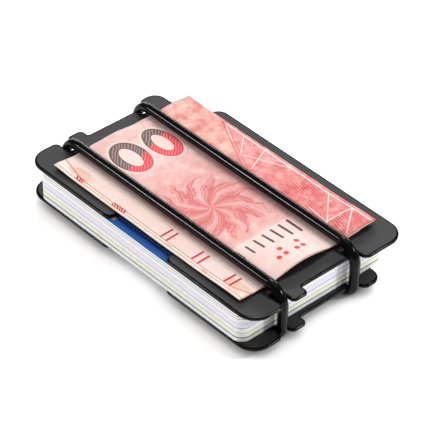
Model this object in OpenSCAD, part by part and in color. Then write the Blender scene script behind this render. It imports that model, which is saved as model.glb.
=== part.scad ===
// Minimalist wallet: two identical thin plates, the lower one turned over, pulled together by two
// round rubber cords. A stack of cards lies between the plates and a folded note under the cords.
// X runs along the length, Y across the width, Z up. The cords' undersides stand on Z = 0.

/* [Cards] */
// Length of a card
card_l = 85.6; // [80:0.1:104]
// Width of a card
card_w = 53.98; // [52:0.02:66]
// Thickness of a card
card_t = 0.76; // [0.6:0.02:0.92]
// Corner radius of a card
card_r = 3.18; // [2:0.02:4]
// Number of cards in the stack
card_count = 12; // [2:1:14]
// Air between two neighbouring cards, and between the stack and a plate
card_gap = 0.04; // [0.02:0.01:0.1]

/* [Plates] */
// Thickness of a plate
plate_t = 1.1; // [0.8:0.1:1.4]
// How far a plate reaches past the cards at each short end
end_over = 4.95; // [4.5:0.05:6]
// How far the cards stand in from the straight long edge
card_in = 0.25; // [0:0.05:1]
// How far the wide part reaches past the cards on the stepped side
wing_over = 3.57; // [2:0.01:8]
// Radius of the wide corners
corner_r = 6; // [4:0.5:8]
// Length of the narrow end, up to the step
narrow_l = 18.25; // [15:0.25:22]
// Depth of the step, from the wide edge in to the narrow edge
step_d = 8.65; // [8:0.05:10.2]
// Radius of the convex corner at the step
step_r = 3.5; // [2:0.5:4]
// Radius of the narrow end's outer corner
narrow_r = 3.8; // [2:0.2:4]

/* [Recess in the straight long edge] */
// Length of the recess
recess_l = 23.6; // [20:0.2:34]
// Depth of the recess
recess_d = 6; // [4:0.5:8]
// Radius of the recess's mouth corners
recess_r = 2.2; // [1:0.1:3]
// Radius of the recess's inner corners
recess_in_r = 3; // [1:0.5:4]

/* [Short ends] */
// Depth of the thumb notch in each short end
notch_d = 3.2; // [2.5:0.1:3.6]
// Width of the small tab between the left slot and the thumb notch
tab_w = 5.7; // [4:0.1:8]
// Corner radius of the small tab and of the slots' mouths
tab_r = 1.6; // [0.8:0.1:1.8]
// Radius of the inner corners of the notch and the slots
floor_r = 0.8; // [0.4:0.1:1.4]
// Corner radius of the stepped side's end tab, next to its slot
end_tab_r = 2.4; // [1:0.1:2.8]

/* [Cords] */
// Diameter of the round cord
cord_d = 3; // [2.5:0.1:3.6]
// Distance from the straight long edge to the left cord's middle
cord_in = 12.9; // [11:0.05:15]
// Distance between the two cords' middles
cord_pitch = 27; // [23:0.1:28]
// Air between a cord and each wall of its slot
slot_gap = 0.2; // [0.1:0.05:0.4]
// Air between a cord and the short end of the cards
cord_gap = 1.1; // [0.8:0.1:1.5]
// Bend radius of a cord's middle line where it turns down over the note
bend_top_r = 5.5; // [4:0.25:5.5]
// Bend radius of a cord's middle line where it turns under the lower plate
bend_low_r = 3.2; // [3:0.1:3.6]
// Depth of the flat where a cord is pressed against what the wallet stands on
seat_flat = 0.05; // [0.02:0.01:0.1]

/* [Note] */
// Size of the folded note along the wallet
note_l = 78; // [60:1:80]
// Size of the folded note across the wallet, a third of its open length
note_w = 51; // [45:1:51]
// Thickness of the folded note: three layers and the air in the folds
note_t = 0.75; // [0.4:0.05:1]
// How far the note lies off the plates' middle, along and across
note_shift = [0, -0.2];

/* [Hidden] */
$fn = 64;
touch_gap = 0.02; // air where two pieces rest on each other
fit_gap = 0.1; // air between a cord's bend and the slot floor's edges
eps = 0.01;

plate_l = card_l + 2 * end_over;
plate_w = card_w + card_in + wing_over;
half_l = plate_l / 2;
half_w = plate_w / 2;
bay_h = card_count * card_t + (card_count + 1) * card_gap;

cord_r = cord_d / 2;
low_run_z = cord_r - seat_flat;
low_plate_z = low_run_z + cord_r + touch_gap;
up_plate_z = low_plate_z + plate_t + bay_h;
note_z = up_plate_z + plate_t + touch_gap;
top_run_z = note_z + note_t + touch_gap + cord_r;
run_x = card_l / 2 + cord_gap + cord_r;
cord_y = [for (k = [0, 1]) -half_w + cord_in + k * cord_pitch];

slot_w = cord_d + 2 * slot_gap;
// The slot floor stands clear inside both bends of the cord.
top_bend_z = top_run_z - bend_top_r;
top_bend_in = bend_top_r - cord_r - fit_gap;
slot_x_top = run_x - bend_top_r + sqrt(pow(top_bend_in, 2) - pow(note_z - touch_gap - top_bend_z, 2));
slot_x = min(run_x - bend_low_r - fit_gap, slot_x_top);
notch_x = half_l - notch_d;
narrow_y = half_w - step_d;
step_x = -half_l + narrow_l;
tab_y = [cord_y[0] + slot_w / 2, cord_y[0] + slot_w / 2 + tab_w];
end_tab_y = cord_y[1] + slot_w / 2;
card_y = -half_w + card_in + card_w / 2;

card_colours = ["white", "ivory", "whitesmoke", "lavender"];

function card_name(i) = str("card_", i < 10 ? "0" : "", i);

// ---- Plates ----

// A square from p towards the signs in s, with the corner at p rounded outwards.
module corner_piece(p, s, r) {
    translate(p) scale([s[0], s[1]]) difference() {
        translate([-eps, -eps]) square(r + eps);
        translate([r, r]) circle(r);
    }
}

// A rectangle between two corners.
module block(low, high) {
    translate(low) square(high - low);
}

// A cut from the +X short end in to floor_x, with rounded inner corners.
module end_pocket(floor_x, low_y, high_y) {
    difference() {
        block([floor_x, low_y], [half_l + 1, high_y]);
        corner_piece([floor_x, low_y], [1, 1], floor_r);
        corner_piece([floor_x, high_y], [1, -1], floor_r);
    }
}

// What is cut away at the +X short end: two cord slots and the thumb notch between them.
module end_cuts() {
    end_pocket(slot_x, cord_y[0] - slot_w / 2, tab_y[0]);
    end_pocket(slot_x, cord_y[1] - slot_w / 2, end_tab_y);
    end_pocket(notch_x, tab_y[1], end_tab_y);
    corner_piece([half_l, cord_y[0] - slot_w / 2], [-1, -1], tab_r);
    corner_piece([half_l, tab_y[0]], [-1, 1], tab_r);
    corner_piece([half_l, tab_y[1]], [-1, -1], tab_r);
    corner_piece([half_l, end_tab_y], [-1, 1], end_tab_r);
}

// The plate's outline, with its narrow end at -X.
module plate_outline() {
    difference() {
        block([-half_l, -half_w], [half_l, half_w]);
        block([-half_l - 1, narrow_y], [step_x, half_w + 1]);
        corner_piece([step_x, half_w], [1, -1], step_r);
        corner_piece([-half_l, narrow_y], [1, -1], narrow_r);
        corner_piece([half_l, half_w], [-1, -1], corner_r);
        for (side = [-1, 1]) {
            corner_piece([side * half_l, -half_w], [-side, 1], corner_r);
            corner_piece([side * recess_l / 2, -half_w], [side, 1], recess_r);
            scale([side, 1]) end_cuts();
        }
        long_edge_recess();
    }
}

// The recess in the straight long edge, where a finger reaches the cards.
module long_edge_recess() {
    floor_y = -half_w + recess_d;
    difference() {
        block([-recess_l / 2, -half_w - 1], [recess_l / 2, floor_y]);
        for (side = [-1, 1]) corner_piece([side * recess_l / 2, floor_y], [-side, -1], recess_in_r);
    }
}

module plate() {
    color("dimgray") linear_extrude(plate_t) plate_outline();
}

module upper_plate() {
    translate([0, 0, up_plate_z]) plate();
}

// The same plate turned over about Y, so that its narrow end is at +X.
module lower_plate() {
    translate([0, 0, low_plate_z + plate_t]) rotate([0, 180, 0]) plate();
}

// ---- Cords ----

// A quarter bend in the XZ plane, from pointing along X at the top to pointing down.
module quarter_bend(bend_r) {
    rotate([90, 0, 0]) rotate_extrude(angle = 90) translate([bend_r, 0]) circle(cord_r);
}

// Half of the loop: from the middle of the top run round the +X end to the middle of the low run.
module half_loop() {
    top_x = run_x - bend_top_r;
    low_x = run_x - bend_low_r;
    low_bend_z = low_run_z + bend_low_r;
    translate([-eps, 0, top_run_z]) rotate([0, 90, 0]) cylinder(r = cord_r, h = top_x + eps);
    translate([top_x, 0, top_bend_z]) quarter_bend(bend_top_r);
    translate([run_x, 0, low_bend_z]) cylinder(r = cord_r, h = top_bend_z - low_bend_z);
    translate([low_x, 0, low_bend_z]) rotate([0, 90, 0]) quarter_bend(bend_low_r);
    translate([-eps, 0, low_run_z]) rotate([0, 90, 0]) cylinder(r = cord_r, h = low_x + eps);
}

module cord(y) {
    color("black") translate([0, y, 0]) difference() {
        union() {
            half_loop();
            mirror([1, 0, 0]) half_loop();
        }
        translate([-plate_l, -cord_d, -1]) cube([2 * plate_l, 2 * cord_d, 1]);
    }
}

module left_cord() {
    cord(cord_y[0]);
}

module right_cord() {
    cord(cord_y[1]);
}

// ---- Contents ----

// A bank card lying flat, counted from the bottom of the stack.
module card(i) {
    tone = i == card_count ? "royalblue" : card_colours[i % len(card_colours)];
    z = low_plate_z + plate_t + card_gap + (i - 1) * (card_t + card_gap);
    color(tone) translate([0, card_y, z]) linear_extrude(card_t) difference() {
        square([card_l, card_w], center = true);
        for (sx = [-1, 1], sy = [-1, 1]) {
            corner_piece([sx * card_l / 2, sy * card_w / 2], [-sx, -sy], card_r);
        }
    }
}

// The folded note: a flat slab whose two long sides are the round folds.
module banknote() {
    fold_r = note_t / 2;
    color("lightpink") translate([note_shift[0] - note_l / 2, note_shift[1], note_z + fold_r]) {
        translate([0, fold_r - note_w / 2, -fold_r]) cube([note_l, note_w - note_t, note_t]);
        for (side = [-1, 1]) {
            translate([0, side * (note_w / 2 - fold_r), 0]) rotate([0, 90, 0]) cylinder(r = fold_r, h = note_l);
        }
    }
}

lower_plate();
upper_plate();
left_cord();
right_cord();
banknote();
for (i = [1:card_count]) {
    card(i);
}
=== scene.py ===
"""Minimalist card wallet: two plates, two elastic cords, a folded note and twelve cards."""
import math

import bmesh
import bpy
from bpy.props import FloatProperty
from bpy.props import FloatVectorProperty
from bpy.props import IntProperty
from bpy.props import PointerProperty
from mathutils import Matrix
from mathutils import Vector


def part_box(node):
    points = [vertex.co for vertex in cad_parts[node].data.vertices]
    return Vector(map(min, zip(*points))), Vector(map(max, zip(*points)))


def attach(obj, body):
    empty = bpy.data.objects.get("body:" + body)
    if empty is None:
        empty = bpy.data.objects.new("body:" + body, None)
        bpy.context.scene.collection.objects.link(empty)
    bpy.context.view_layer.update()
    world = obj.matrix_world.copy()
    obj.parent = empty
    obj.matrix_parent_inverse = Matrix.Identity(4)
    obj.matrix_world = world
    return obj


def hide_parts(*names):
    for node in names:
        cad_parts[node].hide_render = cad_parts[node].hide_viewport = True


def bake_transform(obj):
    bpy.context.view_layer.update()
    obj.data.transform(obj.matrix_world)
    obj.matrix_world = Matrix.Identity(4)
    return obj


bl_info = {
    "name": "Minimalist Card Wallet",
    "version": (1, 0, 0),
    "blender": (4, 5, 0),
    "location": "3D View > Sidebar > Wallet",
    "description": "Plates, elastic cords, folded note and cards of a minimalist wallet",
    "category": "Object",
}

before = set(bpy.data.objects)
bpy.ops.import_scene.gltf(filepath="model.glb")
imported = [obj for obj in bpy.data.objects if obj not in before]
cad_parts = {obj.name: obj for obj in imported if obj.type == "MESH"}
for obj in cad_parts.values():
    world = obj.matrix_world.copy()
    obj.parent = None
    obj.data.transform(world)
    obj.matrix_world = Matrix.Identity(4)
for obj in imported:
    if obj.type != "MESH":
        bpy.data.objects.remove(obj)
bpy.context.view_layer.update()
MM = 0.001
CARD_COUNT = 12


def tone(red, green, blue):
    """Linear colour of three display values from 0 to 255."""
    linear = []
    for value in (red, green, blue):
        share = value / 255
        if share <= 0.04045:
            linear.append(share / 12.92)
        else:
            linear.append(((share + 0.055) / 1.055) ** 2.4)
    return (*linear, 1.0)


WHITE = tone(254, 254, 255)


def ease(value, low, high):
    """0 below low, 1 above high and a smooth rise between them."""
    share = min(1.0, max(0.0, (value - low) / (high - low)))
    return share * share * (3 - 2 * share)


# ---------------------------------------------------------------- node helpers


class Bench:
    """Places and joins the nodes of one tree."""

    def __init__(self, tree):
        self.tree = tree

    def place(self, kind, **settings):
        node = self.tree.nodes.new(kind)
        for name, value in settings.items():
            setattr(node, name, value)
        return node

    def plug(self, socket, value):
        """Joins socket to another one, or sets its plain value."""
        if isinstance(value, bpy.types.NodeSocket):
            self.tree.links.new(value, socket)
        else:
            socket.default_value = value

    def fill(self, node, **values):
        """Joins or sets several inputs, with a low line for each space in their labels."""
        for label, value in values.items():
            self.plug(node.inputs[label.replace("_", " ")], value)

    def math(self, operation, *values, clamp=False):
        node = self.place("ShaderNodeMath", operation=operation, use_clamp=clamp)
        for socket, value in zip(node.inputs, values):
            self.plug(socket, value)
        return node.outputs[0]

    def times(self, first, second, clamp=False):
        return self.math("MULTIPLY", first, second, clamp=clamp)

    def plus(self, first, second):
        return self.math("ADD", first, second)

    def minus(self, first, second):
        return self.math("SUBTRACT", first, second)

    def over(self, first, second, clamp=False):
        return self.math("DIVIDE", first, second, clamp=clamp)

    def size(self, value):
        """value without its sign."""
        return self.math("ABSOLUTE", value)

    def reach(self, first, second):
        """Length of the line whose two sides are first and second."""
        squares = self.plus(self.times(first, first), self.times(second, second))
        return self.math("SQRT", squares)

    def ramp(self, value, low, high, start=0.0, end=1.0):
        """value mapped from low..high to start..end with a smooth step."""
        node = self.place("ShaderNodeMapRange", interpolation_type="SMOOTHSTEP")
        self.fill(node, Value=value, From_Min=low, From_Max=high, To_Min=start, To_Max=end)
        return node.outputs[0]

    def mix(self, share, under, over):
        """Colour under covered by colour over."""
        node = self.place("ShaderNodeMix", data_type="RGBA")
        self.plug(node.inputs[0], share)
        self.plug(node.inputs[6], under)
        self.plug(node.inputs[7], over)
        return node.outputs[2]

    def cover(self, under, mask, over, share=1.0):
        """Colour under with colour over on it where the mask is, as strong as share."""
        if share != 1.0:
            mask = self.times(mask, share)
        return self.mix(mask, under, over)

    def split(self, vector):
        node = self.place("ShaderNodeSeparateXYZ")
        self.plug(node.inputs[0], vector)
        return node.outputs

    def join(self, x=0.0, y=0.0, z=0.0):
        node = self.place("ShaderNodeCombineXYZ")
        for socket, value in zip(node.inputs, (x, y, z)):
            self.plug(socket, value)
        return node.outputs[0]

    def noise(self, place, scale, detail=2.0, roughness=0.5):
        node = self.place("ShaderNodeTexNoise")
        self.fill(node, Vector=place, Scale=scale, Detail=detail, Roughness=roughness)
        return node.outputs[0]

    def spread(self, vector, scale):
        """vector with its three parts multiplied by those of scale."""
        node = self.place("ShaderNodeVectorMath", operation="MULTIPLY")
        self.plug(node.inputs[0], vector)
        self.plug(node.inputs[1], scale)
        return node.outputs[0]

    def use(self, name, **values):
        """Places the shared effect of that name with its own values."""
        node = self.place("ShaderNodeGroup", node_tree=bpy.data.node_groups[name])
        self.fill(node, **values)
        return node.outputs


def new_effect(name, inputs, outputs=("Mask",)):
    """The bench, inputs and outputs of an empty shared effect with a Place and those inputs."""
    tree = bpy.data.node_groups.new(name, "ShaderNodeTree")
    tree.interface.new_socket("Place", in_out="INPUT", socket_type="NodeSocketVector")
    for label, default in inputs.items():
        socket = tree.interface.new_socket(label, in_out="INPUT", socket_type="NodeSocketFloat")
        socket.default_value = default
    for label in outputs:
        tree.interface.new_socket(label, in_out="OUTPUT", socket_type="NodeSocketFloat")
    bench = Bench(tree)
    return bench, bench.place("NodeGroupInput").outputs, bench.place("NodeGroupOutput").inputs


def make_grain_effect():
    """Fine surface grain and large uneven patches."""
    bench, given, made = new_effect(
        "Fine Grain", {"Grain Size": 0.0002, "Patch Size": 0.012}, ("Height", "Patches")
    )
    fine = bench.over(1.0, given["Grain Size"])
    wide = bench.over(1.0, given["Patch Size"])
    bench.plug(made["Height"], bench.noise(given["Place"], fine, 3.0, 0.6))
    patches = bench.noise(given["Place"], wide, 3.0, 0.55)
    bench.plug(made["Patches"], bench.ramp(patches, 0.3, 0.7))


def make_scuff_effect():
    """Thin short scratches in two directions."""
    bench, given, made = new_effect(
        "Fine Scuffs", {"Line Width": 0.00008, "Line Length": 0.006, "Amount": 0.5}
    )
    across = bench.over(1.0, given["Line Width"])
    along = bench.over(1.0, given["Line Length"])
    masks = []
    for angle in (0.35, -0.9):
        turn = bench.place("ShaderNodeVectorRotate", rotation_type="Z_AXIS")
        bench.fill(turn, Vector=given["Place"], Angle=angle)
        stretched = bench.spread(turn.outputs[0], bench.join(along, across, along))
        lines = bench.noise(stretched, 1.0, 1.0, 0.4)
        masks.append(bench.ramp(lines, 0.66, 0.74))
    both = bench.math("MAXIMUM", *masks)
    bench.plug(made["Mask"], bench.times(both, given["Amount"], clamp=True))


def make_dust_effect():
    """Sparse pale specks."""
    bench, given, made = new_effect("Dust Specks", {"Spacing": 0.0015, "Speck Share": 0.07})
    cells = bench.place("ShaderNodeTexVoronoi")
    bench.fill(cells, Vector=given["Place"], Scale=bench.over(1.0, given["Spacing"]))
    inside = bench.math("LESS_THAN", cells.outputs["Distance"], given["Speck Share"])
    chance = bench.split(cells.outputs["Color"])[0]
    rare = bench.math("GREATER_THAN", chance, 0.6)
    bench.plug(made["Mask"], bench.times(inside, rare))


def make_line_print_effect():
    """Evenly spaced thin printed lines that sway a little."""
    bench, given, made = new_effect(
        "Line Print",
        {
            "Spacing": 0.0005,
            "Turn": 0.0,
            "Sway": 0.0002,
            "Sway Size": 0.006,
            "Ink Share": 0.5,
        },
    )
    sides = bench.split(given["Place"])
    level = bench.times(sides[0], bench.math("SINE", given["Turn"]))
    rise = bench.times(sides[1], bench.math("COSINE", given["Turn"]))
    wander = bench.noise(given["Place"], bench.over(1.0, given["Sway Size"]), 1.0)
    sway = bench.times(wander, bench.times(given["Sway"], 4.0))
    place = bench.plus(bench.plus(level, rise), sway)
    turns = bench.math("PINGPONG", bench.over(place, given["Spacing"]), 0.5)
    edge = bench.times(given["Ink Share"], 0.5)
    soft = bench.plus(edge, 0.12)
    bench.plug(made["Mask"], bench.ramp(turns, edge, soft, 1.0, 0.0))


def make_box_effect():
    """A printed rectangle with soft sides."""
    bench, given, made = new_effect(
        "Printed Box", {"Left": 0.0, "Right": 0.01, "Low": 0.0, "High": 0.01, "Soft": 0.0002}
    )
    sides = bench.split(given["Place"])
    gaps = [
        bench.minus(sides[0], given["Left"]),
        bench.minus(given["Right"], sides[0]),
        bench.minus(sides[1], given["Low"]),
        bench.minus(given["High"], sides[1]),
    ]
    inner = gaps[0]
    for gap in gaps[1:]:
        inner = bench.math("MINIMUM", inner, gap)
    bench.plug(made["Mask"], bench.ramp(inner, 0.0, given["Soft"]))


def make_ring_effect():
    """A printed oval ring, or a full oval where the hole is 0."""
    bench, given, made = new_effect(
        "Printed Ring",
        {
            "Centre X": 0.0,
            "Centre Y": 0.0,
            "Half Width": 0.005,
            "Half Height": 0.005,
            "Hole Width": 0.0,
            "Hole Height": 0.0,
        },
    )
    sides = bench.split(given["Place"])
    dx = bench.minus(sides[0], given["Centre X"])
    dy = bench.minus(sides[1], given["Centre Y"])

    def oval_share(half_x, half_y):
        """1 on the oval with those half sizes, less inside it and more outside."""
        across = bench.over(dx, bench.math("MAXIMUM", half_x, 0.00001))
        up = bench.over(dy, bench.math("MAXIMUM", half_y, 0.00001))
        return bench.reach(across, up)

    outer = oval_share(given["Half Width"], given["Half Height"])
    outside = bench.ramp(outer, 0.97, 1.03, 1.0, 0.0)
    hole = bench.ramp(oval_share(given["Hole Width"], given["Hole Height"]), 0.95, 1.05)
    bench.plug(made["Mask"], bench.times(outside, hole))


def make_stroke_effect():
    """A printed straight stroke between two points."""
    bench, given, made = new_effect(
        "Printed Stroke",
        {
            "Start X": 0.0,
            "Start Y": 0.0,
            "End X": 0.01,
            "End Y": 0.0,
            "Half Width": 0.0002,
        },
    )
    sides = bench.split(given["Place"])
    px = bench.minus(sides[0], given["Start X"])
    py = bench.minus(sides[1], given["Start Y"])
    ex = bench.minus(given["End X"], given["Start X"])
    ey = bench.minus(given["End Y"], given["Start Y"])
    dot = bench.plus(bench.times(px, ex), bench.times(py, ey))
    length = bench.plus(bench.times(ex, ex), bench.times(ey, ey))
    share = bench.over(dot, length, clamp=True)
    off_x = bench.minus(px, bench.times(ex, share))
    off_y = bench.minus(py, bench.times(ey, share))
    far = bench.reach(off_x, off_y)
    outer = bench.times(given["Half Width"], 1.35)
    inner = bench.times(given["Half Width"], 0.65)
    bench.plug(made["Mask"], bench.ramp(far, inner, outer, 1.0, 0.0))


def make_shared_effects():
    make_grain_effect()
    make_scuff_effect()
    make_dust_effect()
    make_line_print_effect()
    make_box_effect()
    make_ring_effect()
    make_stroke_effect()


def new_finish(name):
    """A material with an empty tree, its bench and its Principled shader."""
    finish = bpy.data.materials.new(name)
    finish.use_nodes = True
    finish.node_tree.nodes.clear()
    bench = Bench(finish.node_tree)
    shader = bench.place("ShaderNodeBsdfPrincipled")
    output = bench.place("ShaderNodeOutputMaterial")
    bench.plug(output.inputs["Surface"], shader.outputs[0])
    return finish, bench, shader


def object_place(bench):
    return bench.place("ShaderNodeTexCoord").outputs["Object"]


def raise_surface(bench, shader, height, strength, distance):
    """Bump of that height on the shader's Normal."""
    bump = bench.place("ShaderNodeBump")
    bench.fill(bump, Strength=strength, Distance=distance, Height=height)
    bench.plug(shader.inputs["Normal"], bump.outputs[0])


# ---------------------------------------------------------------- objects


def add_object(name, data):
    thing = bpy.data.objects.new(name, data)
    bpy.context.scene.collection.objects.link(thing)
    return thing


def add_shape(name, shape, finishes):
    """An object made from a bmesh shape, which is used up."""
    mesh = bpy.data.meshes.new(name)
    shape.to_mesh(mesh)
    shape.free()
    for finish in finishes:
        mesh.materials.append(finish)
    return add_object(name, mesh)


def applied_mesh(thing):
    """A mesh of the object with its modifiers applied."""
    bpy.context.view_layer.update()
    evaluated = thing.evaluated_get(bpy.context.evaluated_depsgraph_get())
    return bpy.data.meshes.new_from_object(evaluated)


# ---------------------------------------------------------------- settings


def number_of(name, default, description, **kind):
    return FloatProperty(name=name, description=description, default=default, **kind)


def length_of(name, millimetres, description):
    return number_of(name, millimetres * MM, description, unit="LENGTH")


def angle_of(name, degrees, description):
    return number_of(name, math.radians(degrees), description, subtype="ANGLE")


def share_of(name, default, description):
    return number_of(name, default, description, subtype="FACTOR")


def count_of(name, default, description):
    return IntProperty(name=name, description=description, default=default)


def colour_of(name, default, description):
    return FloatVectorProperty(
        name=name, description=description, default=default, size=4, subtype="COLOR"
    )


class WalletPlates(bpy.types.PropertyGroup):
    """Looks of the two metal plates."""

    edge_round: length_of("Edge Rounding", 0.38, "Radius of the rounded rim edges")
    edge_steps: count_of("Edge Steps", 4, "Faces across each rounded edge")
    gloss_border: length_of(
        "Gloss Border", 0.3, "Width of the polished band inside the rounded edge"
    )
    face_colour: colour_of("Face Colour", tone(39, 38, 39), "Satin face of the plates")
    rim_colour: colour_of("Rim Colour", tone(5, 5, 6), "Polished rim of the plates")
    grain_size: length_of("Grain Size", 0.16, "Size of the blasted grain of the faces")


class WalletCords(bpy.types.PropertyGroup):
    """Sizes and colour of the two elastic cords."""

    thickness: length_of("Thickness", 3.0, "Diameter of a cord")
    top_bend: length_of("Top Bend", 5.5, "Radius of the two upper bends, to the middle of the cord")
    low_bend: length_of("Low Bend", 3.2, "Radius of the two lower bends, to the middle of the cord")
    flat_foot: length_of("Flat Foot", 0.05, "How far the cord is pressed flat on the table")
    ring_spacing: length_of("Ring Spacing", 0.4, "Distance between two rings of faces along a cord")
    round_steps: count_of("Round Steps", 28, "Faces around a cord")
    slot_bulge: share_of(
        "Slot Bulge", 0.1, "Share by which the rubber widens in the slots of the upper plate"
    )
    corner_press: share_of(
        "Corner Press", 0.02, "Share of the half run by which rubber fills the slots' inner corners"
    )
    colour: colour_of("Colour", tone(6, 5, 6), "Black rubber of the cords")


class WalletNote(bpy.types.PropertyGroup):
    """Sizes and paper of the folded note."""

    paper: length_of("Paper", 0.1, "Thickness of one layer of paper")
    free_edge: length_of("Free Edge", 0.75, "How far the top layer stops short of its fold")
    middle_lift: length_of("Middle Lift", 1.7, "Height of the raised near edge between the cords")
    fold_lift: length_of("Fold Lift", 0.95, "Opening of the fold at the near end")
    flat_size: FloatVectorProperty(
        name="Flat Size",
        description="Width and length of the note before it is folded",
        default=(78 * MM, 146.4 * MM),
        size=2,
        unit="LENGTH",
    )
    paper_colour: colour_of("Paper Colour", tone(251, 238, 228), "Unprinted paper")
    ink_colour: colour_of("Ink Colour", tone(226, 58, 68), "Strong red ink of the rings")


class WalletCards(bpy.types.PropertyGroup):
    """Looks of the cards."""

    core_colour: colour_of("Core Colour", WHITE, "White plastic core that shows at the edges")
    film_share: share_of("Film Share", 0.13, "Share of a card's thickness in each printed film")


class WalletStage(bpy.types.PropertyGroup):
    """Camera, floor and lights."""

    lens: number_of("Lens", 198.94, "Focal length of the camera, in millimetres")
    azimuth: angle_of("Azimuth", 47.36, "Turn of the camera round the wallet")
    elevation: angle_of("Elevation", 38.78, "Height of the camera above the horizon")
    roll: angle_of("Roll", 0.93, "Turn of the camera about its own axis")
    reach: length_of("Distance", 666.9, "Distance from the camera to the point it looks at")
    target: FloatVectorProperty(
        name="Target",
        description="Point that the camera looks at",
        default=(1.96 * MM, -1.11 * MM, 9.3 * MM),
        size=3,
        subtype="TRANSLATION",
    )
    floor_glow: number_of("Floor Glow", 0.5, "Light given off by the white floor")
    shade_reach: length_of("Shade Reach", 6.5, "How far from the wallet the floor's glow is dimmed")
    surround: number_of("Surround", 0.15, "Brightness of the plain surround")


# ---------------------------------------------------------------- plates

WELD_DISTANCE = 0.002 * MM
FLAT_ANGLE = math.radians(0.2)
SHARP_ANGLE = math.radians(38)
LEAST_FACE_AREA = 500 * MM * MM


def make_plate_face_finish(look):
    finish, bench, shader = new_finish("plate_face")
    place = object_place(bench)
    grain = bench.use("Fine Grain", Place=place, Grain_Size=look.grain_size, Patch_Size=14 * MM)
    scuffs = bench.use(
        "Fine Scuffs", Place=place, Line_Width=0.07 * MM, Line_Length=5 * MM, Amount=0.35
    )
    dust = bench.use("Dust Specks", Place=place, Spacing=2.6 * MM, Speck_Share=0.035)
    plain = tuple(look.face_colour)
    light = tuple(min(1.0, part * 1.35) for part in plain[:3]) + (1.0,)
    dark = tuple(part * 0.82 for part in plain[:3]) + (1.0,)
    colour = bench.mix(grain["Patches"], dark, plain)
    colour = bench.mix(bench.ramp(grain["Height"], 0.5, 0.75, 0.0, 0.6), colour, light)
    colour = bench.mix(scuffs["Mask"], colour, light)
    colour = bench.cover(colour, dust["Mask"], tone(170, 168, 165), 0.35)
    worn = bench.minus(0.47, bench.times(scuffs["Mask"], 0.12))
    rough = bench.plus(worn, bench.times(grain["Patches"], 0.05))
    bench.fill(shader, Base_Color=colour, Roughness=rough, Metallic=0.15, Specular_IOR_Level=0.27)
    height = bench.minus(grain["Height"], bench.times(scuffs["Mask"], 0.4))
    raise_surface(bench, shader, height, 0.35, 0.03 * MM)
    return finish


def make_plate_rim_finish(look):
    finish, bench, shader = new_finish("plate_rim")
    place = object_place(bench)
    grain = bench.use("Fine Grain", Place=place, Grain_Size=0.5 * MM, Patch_Size=9 * MM)
    scuffs = bench.use(
        "Fine Scuffs", Place=place, Line_Width=0.12 * MM, Line_Length=1.4 * MM, Amount=0.5
    )
    colour = bench.cover(tuple(look.rim_colour), scuffs["Mask"], tone(70, 70, 72), 0.5)
    rough = bench.plus(0.14, bench.times(grain["Patches"], 0.08))
    bench.fill(shader, Base_Color=colour, Roughness=rough, Specular_IOR_Level=0.14)
    raise_surface(bench, shader, grain["Height"], 0.15, 0.02 * MM)
    return finish


def plate_shell(node, name, look, finishes):
    """A copy of the CAD plate with rounded rim edges and flat faces."""
    shape = bmesh.new()
    shape.from_mesh(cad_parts[node].data)
    bmesh.ops.remove_doubles(shape, verts=shape.verts, dist=WELD_DISTANCE)
    bmesh.ops.dissolve_limit(
        shape, angle_limit=FLAT_ANGLE, verts=shape.verts, edges=shape.edges
    )
    rim_edges = []
    for edge in shape.edges:
        if len(edge.link_faces) != 2:
            continue
        ups = sorted(abs(face.normal.z) for face in edge.link_faces)
        if ups[0] < 0.2 and ups[1] > 0.9:
            rim_edges.append(edge)
    bmesh.ops.bevel(
        shape,
        geom=rim_edges,
        offset=look.edge_round,
        offset_type="OFFSET",
        segments=look.edge_steps,
        profile=0.5,
        affect="EDGES",
        clamp_overlap=True,
    )
    flats = []
    for face in shape.faces:
        if abs(face.normal.z) > 0.999 and face.calc_area() > LEAST_FACE_AREA:
            flats.append(face)
    bmesh.ops.inset_region(shape, faces=flats, thickness=look.gloss_border, use_even_offset=True)
    for face in shape.faces:
        face.smooth = True
        face.material_index = 0 if face in flats else 1
    bmesh.ops.triangulate(shape, faces=[face for face in shape.faces if len(face.verts) > 4])
    for edge in shape.edges:
        if len(edge.link_faces) == 2:
            edge.smooth = edge.calc_face_angle(0.0) < SHARP_ANGLE
    return add_shape(name, shape, finishes)


class WALLET_OT_plates(bpy.types.Operator):
    """Makes the lower and the upper metal plate"""

    bl_idname = "wallet.plates"
    bl_label = "Metal Plates"

    def execute(self, context):
        look = context.scene.wallet_plates
        finishes = [make_plate_face_finish(look), make_plate_rim_finish(look)]
        for node, body in (("lower_plate", "lower_half"), ("upper_plate", "upper_half")):
            shell = plate_shell(node, node + "_shell", look, finishes)
            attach(shell, body)
            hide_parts(node)
        return {"FINISHED"}


# ---------------------------------------------------------------- cords

CORD_SIZES = (
    "Half Run",
    "Top Height",
    "Low Height",
    "Across Place",
    "Top Bend",
    "Low Bend",
    "Half Thickness",
    "Ring Spacing",
    "Slot Bulge",
    "Corner Press",
)
# Distances inwards from the middle of the cord's upright run.
END_STARTS = 4 * MM
END_IS_FULL = 2 * MM
INNER_SIDE_IS_FULL = 2.2 * MM
INNER_SIDE_ENDS = 0.6 * MM
# Depths below the middle of the cord's top run.
SLOT_DEPTH = 3.4 * MM
PLATE_DEPTH = 2.8 * MM
# Heights over which the widening and the press fade out, from those depths.
BULGE_FADE = (1.2 * MM, 3.2 * MM)
PRESS_FADE = (0.5 * MM, 0.8 * MM)


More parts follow.
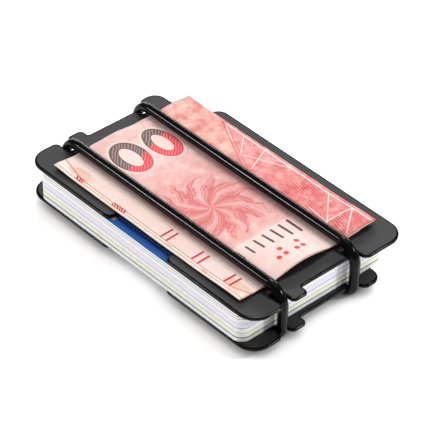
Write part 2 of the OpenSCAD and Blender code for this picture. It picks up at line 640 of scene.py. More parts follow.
def make_cord_finish(look):
    finish, bench, shader = new_finish("cord_rubber")
    round_place = bench.place("ShaderNodeAttribute", attribute_name="around")
    length_place = bench.place("ShaderNodeAttribute", attribute_name="along")
    sides = bench.split(round_place.outputs["Vector"])
    ring = bench.join(length_place.outputs["Fac"], sides[0], sides[1])
    place = object_place(bench)
    grain = bench.use("Fine Grain", Place=place, Grain_Size=0.22 * MM, Patch_Size=7 * MM)
    drawn = bench.noise(bench.spread(ring, (60.0, 9000.0, 9000.0)), 0.35, 2.0, 0.5)
    dust = bench.use("Dust Specks", Place=place, Spacing=1.3 * MM, Speck_Share=0.05)
    seam = bench.ramp(bench.size(sides[1]), 0.0, 0.09 * MM, 1.0, 0.0)
    colour = bench.mix(grain["Patches"], tuple(look.colour), tone(11, 9, 10))
    colour = bench.cover(colour, dust["Mask"], tone(120, 114, 110), 0.3)
    rough = bench.plus(0.13, bench.times(grain["Patches"], 0.06))
    rough = bench.plus(rough, bench.times(dust["Mask"], 0.2))
    bench.fill(shader, Base_Color=colour, Roughness=rough, Specular_IOR_Level=0.16)
    height = bench.plus(bench.times(drawn, 0.6), bench.times(grain["Height"], 0.5))
    height = bench.plus(height, bench.times(seam, 0.7))
    raise_surface(bench, shader, height, 0.25, 0.03 * MM)
    return finish


def make_cord_tree(finish):
    """Geometry Nodes tree of one elastic loop: a rounded rectangle swept with a circle."""
    tree = bpy.data.node_groups.new("Elastic Loop", "GeometryNodeTree")
    for label in CORD_SIZES:
        tree.interface.new_socket(label, in_out="INPUT", socket_type="NodeSocketFloat")
    tree.interface.new_socket("Round Steps", in_out="INPUT", socket_type="NodeSocketInt")
    tree.interface.new_socket("Geometry", in_out="OUTPUT", socket_type="NodeSocketGeometry")
    bench = Bench(tree)
    given = bench.place("NodeGroupInput").outputs
    result = bench.place("NodeGroupOutput")
    half_run = given["Half Run"]
    left = bench.times(half_run, -1.0)

    corners = bench.place("GeometryNodeCurvePrimitiveQuadrilateral", mode="POINTS")
    places = (
        (left, given["Low Height"]),
        (half_run, given["Low Height"]),
        (half_run, given["Top Height"]),
        (left, given["Top Height"]),
    )
    for count, (run, height) in enumerate(places):
        point = bench.join(run, given["Across Place"], height)
        bench.plug(corners.inputs[f"Point {count + 1}"], point)

    where = bench.place("GeometryNodeInputPosition")
    height = bench.split(where.outputs[0])[2]
    middle = bench.times(bench.plus(given["Low Height"], given["Top Height"]), 0.5)
    upper = bench.math("GREATER_THAN", height, middle)
    extra = bench.times(upper, bench.minus(given["Top Bend"], given["Low Bend"]))
    bends = bench.place("GeometryNodeFilletCurve", mode="POLY")
    radius = bench.plus(given["Low Bend"], extra)
    bench.fill(bends, Count=24, Curve=corners.outputs[0], Radius=radius)

    rings = bench.place("GeometryNodeResampleCurve", mode="LENGTH")
    bench.fill(rings, Curve=bends.outputs[0], Length=given["Ring Spacing"])

    run_length = bench.place("GeometryNodeSplineParameter")
    along = bench.place("GeometryNodeStoreNamedAttribute", data_type="FLOAT", domain="POINT")
    bench.fill(along, Name="along", Geometry=rings.outputs[0], Value=run_length.outputs["Length"])

    circle = bench.place("GeometryNodeCurvePrimitiveCircle")
    bench.fill(circle, Resolution=given["Round Steps"], Radius=given["Half Thickness"])
    spot = bench.place("GeometryNodeInputPosition")
    around = bench.place("GeometryNodeStoreNamedAttribute", domain="POINT")
    around.data_type = "FLOAT_VECTOR"
    bench.fill(around, Name="around", Geometry=circle.outputs[0], Value=spot.outputs[0])

    sweep = bench.place("GeometryNodeCurveToMesh")
    bench.plug(sweep.inputs["Curve"], along.outputs[0])
    bench.plug(sweep.inputs["Profile Curve"], around.outputs[0])

    body_place = bench.place("GeometryNodeInputPosition")
    parts = bench.split(body_place.outputs[0])
    from_middle = bench.size(parts[0])
    side = bench.minus(parts[1], given["Across Place"])
    below_top = bench.minus(given["Top Height"], parts[2])

    end_start = bench.minus(half_run, END_STARTS)
    at_end = bench.ramp(from_middle, end_start, bench.minus(half_run, END_IS_FULL))
    from_slot = bench.size(bench.minus(below_top, SLOT_DEPTH))
    in_slot = bench.ramp(from_slot, *BULGE_FADE, 1.0, 0.0)
    bulge = bench.times(bench.times(at_end, in_slot), given["Slot Bulge"])
    across = bench.plus(parts[1], bench.times(side, bulge))

    deep = bench.minus(half_run, INNER_SIDE_IS_FULL)
    inner_side = bench.ramp(from_middle, deep, bench.minus(half_run, INNER_SIDE_ENDS), 1.0, 0.0)
    in_plate = bench.size(bench.minus(below_top, PLATE_DEPTH))
    in_plate = bench.ramp(in_plate, *PRESS_FADE, 1.0, 0.0)
    near_wall = bench.math("POWER", bench.over(bench.size(side), given["Half Thickness"]), 2.0)
    pressed = bench.times(bench.times(inner_side, in_plate), near_wall)
    inwards = bench.minus(1.0, bench.times(pressed, given["Corner Press"]))

    along_run = bench.times(parts[0], inwards)
    seated = bench.join(along_run, across, bench.math("MAXIMUM", parts[2], 0.0))
    seat = bench.place("GeometryNodeSetPosition")
    bench.fill(seat, Geometry=sweep.outputs[0], Position=seated)

    smooth = bench.place("GeometryNodeSetShadeSmooth")
    bench.plug(smooth.inputs[0], seat.outputs[0])
    real = bench.place("GeometryNodeRealizeInstances")
    bench.plug(real.inputs[0], smooth.outputs[0])
    coat = bench.place("GeometryNodeSetMaterial")
    bench.fill(coat, Material=finish, Geometry=real.outputs[0])
    bench.plug(result.inputs[0], coat.outputs[0])
    return tree


def set_tree_input(modifier, tree, label, value):
    for item in tree.interface.items_tree:
        if item.item_type == "SOCKET" and item.in_out == "INPUT" and item.name == label:
            modifier[item.identifier] = value
            return
    raise RuntimeError(f"the tree has no input named {label}")


def grow_tree(tree, name, values):
    """The plain mesh object that a Geometry Nodes tree makes."""
    seed = add_object(name + "_seed", bpy.data.meshes.new(name + "_seed"))
    modifier = seed.modifiers.new("Grow", "NODES")
    modifier.node_group = tree
    for label, value in values.items():
        set_tree_input(modifier, tree, label, value)
    mesh = applied_mesh(seed)
    mesh.name = name
    bpy.data.objects.remove(seed)
    if not mesh.polygons:
        raise RuntimeError(f"{name} came out empty")
    return add_object(name, mesh)


class WALLET_OT_cords(bpy.types.Operator):
    """Makes the two elastic cords that hold the wallet together"""

    bl_idname = "wallet.cords"
    bl_label = "Elastic Cords"

    def execute(self, context):
        look = context.scene.wallet_cords
        tree = make_cord_tree(make_cord_finish(look))
        half = look.thickness / 2
        for node in ("left_cord", "right_cord"):
            low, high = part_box(node)
            values = {
                "Half Run": (high.x - low.x) / 2 - half,
                "Top Height": high.z - half,
                "Low Height": low.z + half - look.flat_foot,
                "Across Place": (low.y + high.y) / 2,
                "Top Bend": look.top_bend,
                "Low Bend": look.low_bend,
                "Half Thickness": half,
                "Ring Spacing": look.ring_spacing,
                "Round Steps": look.round_steps,
                "Slot Bulge": look.slot_bulge,
                "Corner Press": look.corner_press,
            }
            loop = grow_tree(tree, node + "_loop", values)
            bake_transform(loop)
            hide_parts(node)
        return {"FINISHED"}


# ---------------------------------------------------------------- note

# Places and sizes of the prints, in millimetres from the middle of the note.
RING_CENTRES = ((-26.8, 4.4, 7.55, 4.65, 4.5, 2.15), (-27.3, -7.0, 7.5, 5.35, 4.8, 2.45))
ROSETTE = (5.0, -5.0)
TACTILE_DOTS = ((31.4, 2.0), (34.1, 2.0), (34.1, -0.3), (31.3, -4.1), (33.9, -4.1), (33.9, -6.7))
DOUBLE_BARS = ((4.8, 7.1), (17.5, 19.9), (30.4, 32.6))
TRUSS = (
    (-22.0, 24.4, -14.0, 20.0, 0.12),
    (-14.0, 24.4, -8.0, 17.5, 0.12),
    (-5.0, 24.4, -1.0, 15.5, 0.14),
    (-8.0, 17.5, 7.0, 24.4, 0.12),
    (30.5, 14.2, 31.2, 23.8, 0.16),
    (21.5, 24.0, 30.5, 14.6, 0.14),
    (22.5, 15.4, 31.0, 14.4, 0.14),
    (31.2, 23.8, 37.8, 15.0, 0.14),
    (-22.0, 24.4, 38.5, 23.7, 0.2),
)
WANING_BORDER = (
    (-39.0, -21.5, -28.6, -24.0),
    (-28.6, -24.0, 33.0, -23.9),
    (33.0, -23.9, 39.0, -21.7),
)
NOTE_COLUMNS = 112
LEFT_CORD = -16 * MM
RIGHT_CORD = 11 * MM
CORD_CLEARANCE = 1.7 * MM


def make_note_finish(look):
    finish, bench, shader = new_finish("note_paper")
    sheet = bench.place("ShaderNodeAttribute", attribute_name="sheet_place").outputs["Vector"]
    sides = bench.split(sheet)
    place = bench.join(sides[0], sides[1], 0.0)
    paper = tuple(look.paper_colour)

    def printed(effect, **sizes):
        """Mask of a print effect with its sizes in millimetres."""
        lengths = {label: size * MM for label, size in sizes.items()}
        return bench.use(effect, Place=place, **lengths)["Mask"]

    def box(left, right, low, high, soft=0.15):
        return printed("Printed Box", Left=left, Right=right, Low=low, High=high, Soft=soft)

    def stroke(start_x, start_y, end_x, end_y, half):
        ends = {"Start_X": start_x, "Start_Y": start_y, "End_X": end_x, "End_Y": end_y}
        return printed("Printed Stroke", Half_Width=half, **ends)

    def oval(x, y, half_x, half_y, hole_x=0.0, hole_y=0.0):
        halves = {"Half_Width": half_x, "Half_Height": half_y}
        hole = {"Hole_Width": hole_x, "Hole_Height": hole_y}
        return printed("Printed Ring", Centre_X=x, Centre_Y=y, **halves, **hole)

    def lines(spacing, turn, sway, share=0.5, size=6.0):
        return bench.use(
            "Line Print",
            Place=place,
            Spacing=spacing * MM,
            Turn=turn,
            Sway=sway * MM,
            Sway_Size=size * MM,
            Ink_Share=share,
        )["Mask"]

    cloud = bench.use("Fine Grain", Place=place, Grain_Size=0.35 * MM, Patch_Size=6 * MM)
    pale = bench.mix(cloud["Patches"], tone(236, 206, 199), tone(247, 228, 221))
    warm = bench.mix(cloud["Patches"], tone(228, 158, 151), tone(243, 202, 194))
    fine_cloud = bench.use("Fine Grain", Place=place, Grain_Size=0.5 * MM, Patch_Size=1.5 * MM)
    mottle = fine_cloud["Patches"]
    to_middle = bench.ramp(sides[0], -24 * MM, -6 * MM)
    to_near = bench.ramp(sides[0], 19 * MM, 23 * MM, 1.0, 0.0)
    colour = bench.mix(bench.times(to_middle, to_near), pale, warm)
    colour = bench.cover(colour, lines(0.6, 0.5, 0.35, 0.4), tone(226, 128, 126), 0.22)
    colour = bench.cover(colour, lines(0.7, -0.7, 0.4, 0.4), tone(253, 232, 226), 0.24)
    colour = bench.cover(colour, mottle, tone(222, 130, 126), 0.36)

    dx = bench.minus(sides[0], ROSETTE[0] * MM)
    dy = bench.minus(sides[1], ROSETTE[1] * MM)
    reach = bench.reach(dx, dy)
    angle = bench.math("ARCTAN2", dy, dx)
    wander = bench.times(bench.noise(place, 220.0, 2.0), 0.5)
    turned = bench.plus(angle, wander)
    swirl = bench.plus(turned, bench.times(reach, 55.0))
    lobes = bench.size(bench.math("COSINE", bench.times(swirl, 3.5)))
    outline = bench.plus(9.5 * MM, bench.times(lobes, 6.5 * MM))
    inside = bench.ramp(bench.minus(outline, reach), 0.0, 0.8 * MM)
    veins = bench.math("SINE", bench.times(swirl, 49.0))
    veins = bench.ramp(veins, -0.3, 0.9, 0.1, 1.0)
    shade = bench.ramp(lobes, 0.0, 0.75, 1.0, 0.25)
    petals = bench.times(inside, bench.times(bench.math("MAXIMUM", veins, shade), 0.8))
    colour = bench.cover(colour, inside, tone(236, 142, 140), 0.4)
    colour = bench.cover(colour, petals, tone(206, 66, 74), 0.92)
    glow = bench.ramp(lobes, 0.86, 1.0)
    colour = bench.cover(colour, bench.times(inside, glow), tone(250, 205, 200), 0.5)

    handled = bench.noise(place, 260.0, 4.0, 0.62)
    colour = bench.mix(bench.ramp(handled, 0.38, 0.66, 0.0, 0.28), colour, tone(210, 146, 140))
    colour = bench.mix(bench.ramp(handled, 0.3, 0.48, 0.24, 0.0), colour, tone(253, 240, 230))

    split_line = bench.plus(sides[0], bench.times(sides[1], 0.35))
    grey_side = bench.ramp(split_line, -27.8 * MM, -27.2 * MM, 1.0, 0.0)
    ring_ink = bench.mix(grey_side, tuple(look.ink_colour), tone(96, 76, 74))
    ring_gap = bench.mix(grey_side, tone(240, 124, 126), tone(164, 140, 134))
    hatch = lines(0.85, 0.75, 0.3, 0.4, 4.0)
    ring_colour = bench.mix(hatch, ring_gap, ring_ink)
    for x, y, half_x, half_y, hole_x, hole_y in RING_CENTRES:
        colour = bench.mix(oval(x, y, half_x + 0.8, half_y + 0.8), colour, tone(250, 216, 208))
        colour = bench.mix(oval(x, y, half_x, half_y, hole_x, hole_y), colour, ring_colour)
        outer_line = oval(x, y, half_x, half_y, half_x - 0.45, half_y - 0.45)
        inner_line = oval(x, y, hole_x + 0.3, hole_y + 0.3, hole_x, hole_y)
        colour = bench.mix(outer_line, colour, ring_ink)
        colour = bench.mix(inner_line, colour, ring_ink)

    panel = box(21.6, 39.5, -19.0, 12.0, 0.6)
    colour = bench.cover(colour, panel, tone(251, 226, 219), 0.55)
    grey_ink = tone(74, 62, 64)
    for count in range(7):
        y = -13.0 + 3.3 * count
        size = 1.5 + 0.22 * count
        bar = stroke(25.6 - size, y, 25.6 + size, y, 0.3 + 0.03 * count)
        colour = bench.mix(bar, colour, grey_ink)
    for x, y in TACTILE_DOTS:
        colour = bench.mix(oval(x, y, 0.78, 0.78), colour, tone(232, 62, 70))

    left_strip = box(-40.0, 40.0, -26.5, -17.0, 0.8)
    colour = bench.cover(colour, left_strip, tone(250, 232, 223), 0.72)
    border = box(-40.0, 40.0, -27.0, -23.6, 0.7)
    colour = bench.cover(colour, border, paper, 0.9)
    tint = bench.times(oval(-30.5, -22.5, 5.5, 1.8), bench.ramp(cloud["Patches"], 0.0, 0.7))
    colour = bench.cover(colour, tint, tone(226, 150, 104), 0.4)
    corner = bench.times(oval(38.0, -22.5, 9.0, 2.2), bench.ramp(cloud["Patches"], 0.0, 0.7))
    colour = bench.cover(colour, corner, tone(228, 160, 110), 0.42)
    for start_x, start_y, end_x, end_y in WANING_BORDER:
        line = stroke(start_x, start_y, end_x, end_y, 0.17)
        colour = bench.cover(colour, line, tone(206, 112, 70), 0.9)
    for pair in DOUBLE_BARS:
        for x in pair:
            colour = bench.mix(stroke(x, -19.6, x, -23.5, 0.36), colour, tone(214, 24, 38))
    for left, right in ((-31.0, -27.5), (-15.0, -9.4)):
        block = bench.times(box(left, right, -25.5, -23.4), lines(0.8, 0.9, 0.2, 0.55, 2.0))
        colour = bench.mix(block, colour, tone(206, 34, 42))
    for x, y in ((-28.5, -24.5), (8.0, -25.2), (22.5, -25.1)):
        mark = bench.times(box(x, x + 2.2, y, y + 0.9), lines(0.5, 1.3, 0.2, 0.5, 1.0))
        colour = bench.cover(colour, mark, tone(230, 120, 100), 0.6)

    right_strip = box(-40.0, 40.0, 12.2, 27.0, 0.6)
    far_cloud = bench.ramp(cloud["Patches"], 0.2, 0.8)
    far_tone = bench.mix(far_cloud, tone(242, 204, 184), tone(226, 142, 134))
    near_tone = bench.mix(cloud["Patches"], tone(214, 62, 70), tone(232, 132, 128))
    middle_tone = bench.mix(cloud["Patches"], tone(222, 92, 94), tone(238, 172, 166))
    slant = bench.plus(sides[1], bench.times(sides[0], 0.5))
    strip = bench.mix(bench.ramp(slant, 12.3 * MM, 12.7 * MM), far_tone, middle_tone)
    strip = bench.mix(bench.ramp(sides[0], 2 * MM, 14 * MM), strip, near_tone)
    strip = bench.cover(strip, lines(0.8, 0.2, 0.3, 0.35), tone(250, 200, 194), 0.4)
    strip = bench.cover(strip, lines(0.8, 1.4, 0.3, 0.35), tone(208, 62, 72), 0.3)
    strip = bench.cover(strip, mottle, tone(248, 196, 190), 0.25)
    strip = bench.mix(bench.ramp(handled, 0.44, 0.68, 0.0, 0.5), strip, tone(196, 46, 56))
    strip = bench.mix(bench.ramp(handled, 0.3, 0.46, 0.45, 0.0), strip, tone(252, 222, 208))
    for start_x, start_y, end_x, end_y, half in TRUSS:
        line = stroke(start_x, start_y, end_x, end_y, half)
        strip = bench.cover(strip, line, tone(254, 240, 232), 0.92)
    for shift in (0.0, 2.2):
        line = stroke(-27.0 + shift, 26.0, 1.0 + shift, 12.0, 0.14)
        strip = bench.cover(strip, line, tone(212, 70, 78), 0.6)
    colour = bench.mix(right_strip, colour, strip)

    fibre = bench.noise(bench.spread(place, (1.0, 2.2, 1.0)), 4200.0, 3.0, 0.6)
    colour = bench.mix(bench.ramp(fibre, 0.52, 0.72, 0.0, 0.22), colour, tone(255, 246, 240))
    colour = bench.mix(bench.ramp(fibre, 0.48, 0.3, 0.0, 0.2), colour, tone(206, 120, 116))
    far_layers = bench.ramp(sides[2], 0.25, 0.35)
    blank = bench.mix(cloud["Patches"], tone(247, 222, 208), tone(252, 236, 224))
    colour = bench.mix(far_layers, colour, blank)
    rough = bench.plus(0.66, bench.times(fibre, 0.2))
    bench.fill(shader, Base_Color=colour, Roughness=rough, Specular_IOR_Level=0.3)
    creases = bench.noise(bench.spread(place, (140.0, 330.0, 1.0)), 1.0, 4.0, 0.55)
    height = bench.plus(bench.times(creases, 1.6), bench.times(fibre, 0.35))
    raise_surface(bench, shader, height, 0.55, 0.12 * MM)
    return finish


def note_stations(look, low, high):
    """The folded sheet's middle line seen from its end: place across, height, run and layer."""
    paper = look.paper
    fold = (high.z - low.z - 2 * paper) / 4
    top = high.z - paper * 0.6
    stations = []
    run = 0.0

    def add(across, height, layer):
        nonlocal run
        if stations:
            last = stations[-1]
            run += math.hypot(across - last[0], height - last[1])
        stations.append((across, height, run, layer))

    def straight(start, end, height, layer, steps):
        for count in range(steps + 1):
            add(start + (end - start) * count / steps, height, layer)

    def turn_back(across, height, side, layer):
        for count in range(1, 6):
            angle = math.pi * count / 6
            out = side * fold * math.sin(angle)
            add(across + out, height - fold * (1 - math.cos(angle)), layer)

    right = high.y - fold - paper / 2
    left = low.y + fold + paper / 2
    straight(low.y + look.free_edge, right, top, 0.0, 84)
    turn_back(right, top, 1, 0.2)
    straight(right, left, top - 2 * fold, 0.5, 72)
    turn_back(left, top - 2 * fold, -1, 0.6)
    straight(left, high.y - 6 * MM, top - 4 * fold, 1.0, 60)
    return stations


def note_lift(look, x, y, layer):
    """How far the paper stands above its flat place, clear of the two cords."""
    near = ease(x, 12 * MM, 39 * MM) ** 1.4
    far = ease(-x, 28 * MM, 39 * MM)
    between_low = LEFT_CORD + CORD_CLEARANCE
    between_high = RIGHT_CORD - CORD_CLEARANCE
    right_edge = RIGHT_CORD + CORD_CLEARANCE
    left_edge = LEFT_CORD - CORD_CLEARANCE
    lift = 0.0
    if between_low < y < between_high:
        share = (y - between_low) / (between_high - between_low)
        hump = math.sin(math.pi * share) ** 1.3
        lift += hump * (0.1 * MM + look.middle_lift * near * (1 - 0.18 * layer) + 0.35 * MM * far)
    if y > right_edge:
        share = (y - right_edge) / (12.8 * MM)
        opening = math.sin(math.pi * min(1.0, share)) ** 0.9
        lift += opening * look.fold_lift * near * max(0.0, 1 - 1.6 * layer)
        lift += ease(share, 0.0, 1.0) * (0.45 * MM * near + 0.3 * MM * far)
    if y < left_edge:
        share = (left_edge - y) / (8.0 * MM)
        lift += ease(share, 0.0, 1.2) * (0.4 * MM * near + 0.45 * MM * far + 0.08 * MM)
        lift -= ease(share, 0.1, 0.8) * 0.17 * MM * max(0.0, 1 - 4 * layer)
    ripple = math.sin(x * 330 + y * 120) + 0.6 * math.sin(x * 170 - y * 300 + 1.0)
    clear = min(ease(abs(y - cord), 1.4 * MM, 4 * MM) for cord in (LEFT_CORD, RIGHT_CORD))
    return lift + clear * 0.05 * MM * (ripple + 1.6)


def make_folded_note(look, finish):
    low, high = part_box("banknote")
    stations = note_stations(look, low, high)
    length = high.x - low.x
    shape = bmesh.new()
    places = shape.verts.layers.float_vector.new("sheet_place")
    grid = []
    for column in range(NOTE_COLUMNS + 1):
        share = column / NOTE_COLUMNS
        row = []
        for across, height, run, layer in stations:
            x = low.x + length * share
            wave = 0.22 * MM * math.sin(across * 260 + 0.6) + 0.12 * MM * math.sin(across * 610)
            x += wave * (1 - share) ** 6
            x -= 0.35 * MM * layer * share ** 6
            z = height + note_lift(look, x, across, layer)
            vert = shape.verts.new((x, across, z))
            vert[places] = (x, low.y + look.free_edge + run, layer)
            row.append(vert)
        grid.append(row)
    for first, second in zip(grid, grid[1:]):
        for count in range(len(first) - 1):
            corners = (first[count], second[count], second[count + 1], first[count + 1])
            shape.faces.new(corners).smooth = True
    note = add_shape("folded_note", shape, [finish])
    wall = note.modifiers.new("Paper", "SOLIDIFY")
    wall.thickness = look.paper
    wall.offset = 0.0
    thick = applied_mesh(note)
    note.modifiers.remove(wall)
    note.data = thick
    return note


class WALLET_OT_note(bpy.types.Operator):
    """Makes the folded paper note under the cords"""

    bl_idname = "wallet.note"
    bl_label = "Folded Note"

    def execute(self, context):
        look = context.scene.wallet_note
        note = make_folded_note(look, make_note_finish(look))
        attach(note, "note")
        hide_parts("banknote")
        return {"FINISHED"}


# ---------------------------------------------------------------- cards

CARD_STYLES = (
    {"front": tone(222, 224, 226), "back": tone(205, 206, 210), "face": tone(226, 229, 233)},
    {"front": tone(84, 122, 12), "back": WHITE, "face": tone(120, 156, 40), "film": 4.0},
    {"front": tone(226, 228, 214), "back": tone(214, 216, 206), "face": tone(214, 220, 190)},
    {"front": tone(214, 214, 140), "back": WHITE, "face": tone(222, 214, 120), "film": 3.4},
    {"front": tone(228, 228, 236), "back": tone(222, 222, 190), "face": tone(238, 236, 228)},
    {
        "core": tone(246, 244, 252),
        "front": tone(184, 182, 202),
        "back": WHITE,
        "face": tone(178, 172, 206),
        "film": 2.0,
    },
    {
        "core": tone(246, 243, 253),
        "front": tone(226, 220, 240),
        "back": tone(220, 216, 236),
        "face": tone(214, 204, 232),
    },
    {
        "core": tone(244, 240, 250),
        "front": tone(206, 202, 224),
        "back": WHITE,
        "face": tone(196, 188, 220),
    },
    {"front": tone(232, 230, 240), "back": tone(212, 210, 222), "face": tone(230, 224, 236)},
    {"front": tone(150, 152, 150), "back": WHITE, "face": tone(158, 160, 160)},
    {"front": tone(146, 152, 122), "back": tone(196, 198, 198), "face": tone(170, 178, 140)},
    {"front": tone(64, 92, 120), "back": tone(172, 174, 176), "face": tone(6, 24, 104)},
)


def make_card_finish(look, number_on, node, style):
    """Printed plastic with a white core, a front and a back."""
    finish, bench, shader = new_finish(f"card_{number_on:02d}_plastic")
    low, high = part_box(node)
    place = object_place(bench)
    sides = bench.split(place)
    share = bench.over(bench.minus(sides[2], low.z), high.z - low.z)
    up = bench.split(bench.place("ShaderNodeNewGeometry").outputs["Normal"])[2]
    on_front = bench.math("GREATER_THAN", up, 0.5)
    on_back = bench.math("LESS_THAN", up, -0.5)
    film = look.film_share * style.get("film", 1.0)
    front_film = bench.ramp(share, 1 - film - 0.05, 1 - film)
    back_film = bench.ramp(share, film, film + 0.05, 1.0, 0.0)
    core = style.get("core", tuple(look.core_colour))
    edge = bench.mix(front_film, core, style["front"])
    edge = bench.mix(back_film, edge, style["back"])

    shift = bench.place("ShaderNodeMapping")
    bench.plug(shift.inputs["Vector"], place)
    shift.inputs["Location"].default_value = (number_on * 0.173, number_on * -0.091, 0.0)
    moved = shift.outputs[0]
    grain = bench.use("Fine Grain", Place=moved, Grain_Size=0.3 * MM, Patch_Size=24 * MM)
    waves = bench.use(
        "Line Print",
        Place=moved,
        Spacing=(1.1 + 0.12 * number_on) * MM,
        Turn=0.35 * number_on,
        Sway=2.2 * MM,
        Sway_Size=26 * MM,
        Ink_Share=0.3,
    )
    scuffs = bench.use(
        "Fine Scuffs", Place=moved, Line_Width=0.09 * MM, Line_Length=7 * MM, Amount=0.25
    )
    face = style["face"]
    dark = tuple(part * 0.72 for part in face[:3]) + (1.0,)
    light = tuple(part * 0.6 + 0.4 for part in face[:3]) + (1.0,)

    def box(left, right, bottom, top, soft=0.15):
        return bench.use(
            "Printed Box",
            Place=place,
            Left=left * MM,
            Right=right * MM,
            Low=low.y + bottom * MM,
            High=low.y + top * MM,
            Soft=soft * MM,
        )["Mask"]

    if number_on == CARD_COUNT:
        # Blue print, darkened inwards from the long edge as painted shade where the note and the
        # upper plate cover the card.
        depth = bench.minus(sides[1], low.y)
        streaks = bench.noise(bench.spread(place, (900.0, 60.0, 1.0)), 1.0, 2.0, 0.5)
        shifted = bench.plus(depth, bench.times(bench.minus(streaks, 0.5), 1.6 * MM))
        painted_shade_inwards = bench.ramp(shifted, 0.4 * MM, 3.4 * MM)
        front = bench.mix(painted_shade_inwards, tone(0, 84, 160), tone(0, 54, 128))
        front = bench.mix(bench.ramp(shifted, 2.6 * MM, 5.4 * MM), front, tone(0, 18, 84))
        front = bench.mix(bench.ramp(sides[1], -12 * MM, -11.8 * MM), front, tone(226, 231, 240))
        # Painted shade: the blue turns deep navy at both ends, where the plate covers the card.
        ends = bench.ramp(bench.size(sides[0]), 40.0 * MM, 40.2 * MM)
        ends = bench.times(ends, bench.ramp(sides[1], 14 * MM, 14.2 * MM, 1.0, 0.0))
        front = bench.mix(ends, front, tone(0, 8, 60))
        row = bench.math("GREATER_THAN", bench.math("SINE", bench.times(sides[0], 5200.0)), 0.1)
        dots = bench.times(box(-11.0, 14.0, 3.1, 3.5, 0.1), row)
        front = bench.cover(front, dots, tone(150, 170, 220), 0.6)
        front = bench.mix(box(-12.4, -10.7, 1.2, 2.5), front, tone(206, 132, 36))
    else:
        front = bench.mix(grain["Patches"], face, dark)
        front = bench.cover(front, waves["Mask"], light, 0.35)
        light_band = box(-43.0, 43.0, 8.0 + number_on, 14.0 + number_on * 1.3, 0.4)
        dark_line = box(-43.0, 43.0, 46.0 - number_on, 47.0 - number_on, 0.2)
        front = bench.mix(light_band, front, light)
        front = bench.mix(dark_line, front, dark)
    if number_on % 2 == 0:
        contacts = box(-34.0, -22.5, 26.0, 35.0, 0.4)
        cross = bench.math("MAXIMUM", box(-28.5, -28.1, 26.0, 35.0), box(-34.0, -22.5, 30.3, 30.7))
        gold = bench.mix(cross, tone(226, 190, 110), tone(120, 92, 40))
        front = bench.mix(contacts, front, gold)
    back = bench.mix(bench.times(waves["Mask"], 0.3), tone(232, 232, 234), tone(204, 206, 212))
    back = bench.mix(box(-43.0, 43.0, 38.0, 48.0, 0.2), back, tone(26, 24, 26))
    panel = box(-36.0, 14.0, 24.0, 33.0, 0.2)
    ruled = bench.use(
        "Line Print", Place=place, Spacing=0.9 * MM, Turn=0.6, Sway=0.0, Ink_Share=0.3
    )
    written = bench.mix(bench.times(ruled["Mask"], 0.5), tone(246, 244, 238), tone(206, 208, 214))
    back = bench.mix(panel, back, written)

    colour = bench.mix(on_front, edge, front)
    colour = bench.mix(on_back, colour, back)
    on_face = bench.math("MAXIMUM", on_front, on_back)
    worn = bench.times(scuffs["Mask"], on_face)
    colour = bench.cover(colour, worn, tone(236, 236, 238), 0.3)
    rough = bench.minus(0.55, bench.times(on_face, 0.27))
    rough = bench.plus(rough, bench.times(scuffs["Mask"], 0.15))
    bench.fill(shader, Base_Color=colour, Roughness=rough, Specular_IOR_Level=0.28)
    height = bench.minus(grain["Height"], scuffs["Mask"])
    raise_surface(bench, shader, height, 0.12, 0.02 * MM)
    return finish


class WALLET_OT_cards(bpy.types.Operator):
    """Gives each of the stacked cards its own print and white core"""

    bl_idname = "wallet.cards"
    bl_label = "Stacked Cards"

    def execute(self, context):
        look = context.scene.wallet_cards
        for count, style in enumerate(CARD_STYLES):
            node = f"card_{count + 1:02d}"
            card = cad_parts[node]
            finish = make_card_finish(look, count + 1, node, style)
            if not card.material_slots:
                raise RuntimeError(f"{node} has no material slot")
            for slot in card.material_slots:
                slot.material = finish
        return {"FINISHED"}


# ---------------------------------------------------------------- stage

FLOOR_HALF = 3.0
FLOOR_HEIGHT = -0.03 * MM
# Name, place, width and height in metres, power in watts and colour of each light.
PLAIN_LIGHT = (1.0, 1.0, 1.0)
LIGHTS = (
    ("overhead_soft", (-0.05, 0.1, 1.15), 1.0, 1.0, 2.6, PLAIN_LIGHT),
    ("side_key", (-0.36, 0.46, 0.95), 0.24, 0.24, 4.1, PLAIN_LIGHT),
    ("back_strip", (-0.72, 0.89, 0.42), 1.3, 0.1, 7.5, PLAIN_LIGHT),
    ("left_soft", (-0.66, -0.72, 0.6), 0.16, 0.16, 4.2, (1.0, 0.95, 0.93)),
    ("right_soft", (0.7, 0.6, 0.64), 0.14, 0.14, 6.4, PLAIN_LIGHT),
)


def make_floor(look):
    finish, bench, shader = new_finish("floor_white")
    grain = bench.use("Fine Grain", Place=object_place(bench), Grain_Size=2 * MM, Patch_Size=0.4)
    colour = bench.mix(grain["Patches"], tone(250, 250, 250), tone(252, 252, 252))
    # Painted contact shadow: ambient occlusion darkens the floor's colour to grey and dims its glow
    # near the wallet.
    cover = bench.place("ShaderNodeAmbientOcclusion", samples=12)
    cover.inputs["Distance"].default_value = look.shade_reach
    unshaded_share = bench.ramp(cover.outputs["AO"], 0.1, 0.75)
    colour = bench.mix(unshaded_share, tone(120, 120, 120), colour)
    glow = bench.mix(unshaded_share, tone(40, 40, 40), tone(255, 255, 255))
    bench.fill(
        shader,
        Base_Color=colour,
        Roughness=0.22,
        Specular_IOR_Level=0.35,
        Emission_Color=glow,
        Emission_Strength=look.floor_glow,
    )
    shape = bmesh.new()
    corners = []
    for side_x, side_y in ((-1, -1), (1, -1), (1, 1), (-1, 1)):
        place = (side_x * FLOOR_HALF, side_y * FLOOR_HALF, FLOOR_HEIGHT)
        corners.append(shape.verts.new(place))
    shape.faces.new(corners)
    floor = add_shape("floor", shape, [finish])


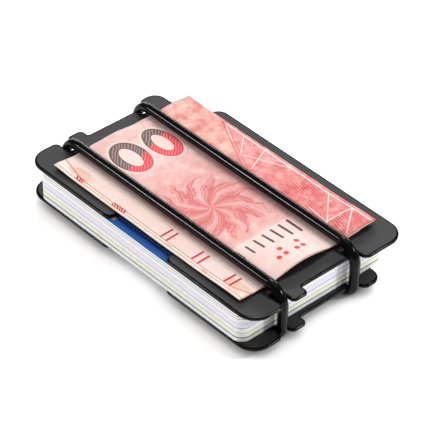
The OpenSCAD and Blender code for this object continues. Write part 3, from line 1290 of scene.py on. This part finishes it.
def make_soft_light(name, place, width, height, power, colour):
    """An area light at place that faces the middle of the wallet."""
    lamp = bpy.data.lights.new(name, "AREA")
    lamp.shape = "RECTANGLE"
    lamp.size = width
    lamp.size_y = height
    lamp.energy = power
    lamp.color = colour
    holder = add_object(name, lamp)
    spot = Vector(place)
    aim = Vector((0.0, 0.0, 9 * MM)) - spot
    holder.rotation_euler = aim.to_track_quat("-Z", "Y").to_euler()
    holder.location = spot


def make_camera(look):
    turn = look.azimuth
    rise = look.elevation
    level = math.cos(rise)
    back = Vector((math.sin(turn) * level, -math.cos(turn) * level, math.sin(rise)))
    right = Vector((math.cos(turn), math.sin(turn), 0.0))
    up = back.cross(right)
    cosine = math.cos(look.roll)
    sine = math.sin(look.roll)
    rolled_right = cosine * right + sine * up
    rolled_up = cosine * up - sine * right
    camera_data = bpy.data.cameras.new("studio_camera")
    camera_data.lens = look.lens
    camera_data.sensor_width = 36.0
    camera_data.clip_start = 10 * MM
    camera_data.clip_end = 20.0
    camera = add_object("studio_camera", camera_data)
    place = Vector(look.target) + back * look.reach
    columns = Matrix((rolled_right, rolled_up, back)).transposed()
    camera.matrix_world = Matrix.Translation(place) @ columns.to_4x4()
    bpy.context.scene.camera = camera


class WALLET_OT_stage(bpy.types.Operator):
    """Sets up the pale floor, the soft lights and the camera"""

    bl_idname = "wallet.stage"
    bl_label = "Studio Stage"

    def execute(self, context):
        look = context.scene.wallet_stage
        make_floor(look)
        world = bpy.data.worlds.new("studio")
        world.use_nodes = True
        sky = world.node_tree.nodes["Background"]
        sky.inputs["Color"].default_value = (1.0, 1.0, 1.0, 1.0)
        sky.inputs["Strength"].default_value = look.surround
        context.scene.world = world
        context.scene.view_settings.view_transform = "Standard"
        for light in LIGHTS:
            make_soft_light(*light)
        make_camera(look)
        return {"FINISHED"}


# ---------------------------------------------------------------- add-on


class WALLET_PT_sidebar(bpy.types.Panel):
    """Lists the wallet's pieces in the sidebar."""

    bl_idname = "WALLET_PT_sidebar"
    bl_label = "Card Wallet"
    bl_space_type = "VIEW_3D"
    bl_region_type = "UI"
    bl_category = "Wallet"

    def draw(self, context):
        for operator, group_name in PARTS:
            column = self.layout.box().column()
            column.operator(operator.bl_idname)
            group = getattr(context.scene, group_name)
            for label in group.__annotations__:
                column.prop(group, label)


PARTS = (
    (WALLET_OT_plates, "wallet_plates"),
    (WALLET_OT_cords, "wallet_cords"),
    (WALLET_OT_note, "wallet_note"),
    (WALLET_OT_cards, "wallet_cards"),
    (WALLET_OT_stage, "wallet_stage"),
)
GROUPS = (WalletPlates, WalletCords, WalletNote, WalletCards, WalletStage)
CLASSES = (*GROUPS, *(operator for operator, _ in PARTS), WALLET_PT_sidebar)


def register():
    for kind in CLASSES:
        bpy.utils.register_class(kind)
    for group, (_, name) in zip(GROUPS, PARTS):
        setattr(bpy.types.Scene, name, PointerProperty(type=group))


def unregister():
    for _, name in PARTS:
        delattr(bpy.types.Scene, name)
    for kind in reversed(CLASSES):
        bpy.utils.unregister_class(kind)


def main():
    register()
    make_shared_effects()
    bpy.ops.wallet.plates()
    bpy.ops.wallet.cords()
    bpy.ops.wallet.note()
    bpy.ops.wallet.cards()
    bpy.ops.wallet.stage()
    bpy.context.view_layer.update()


if __name__ == "__main__":
    main()
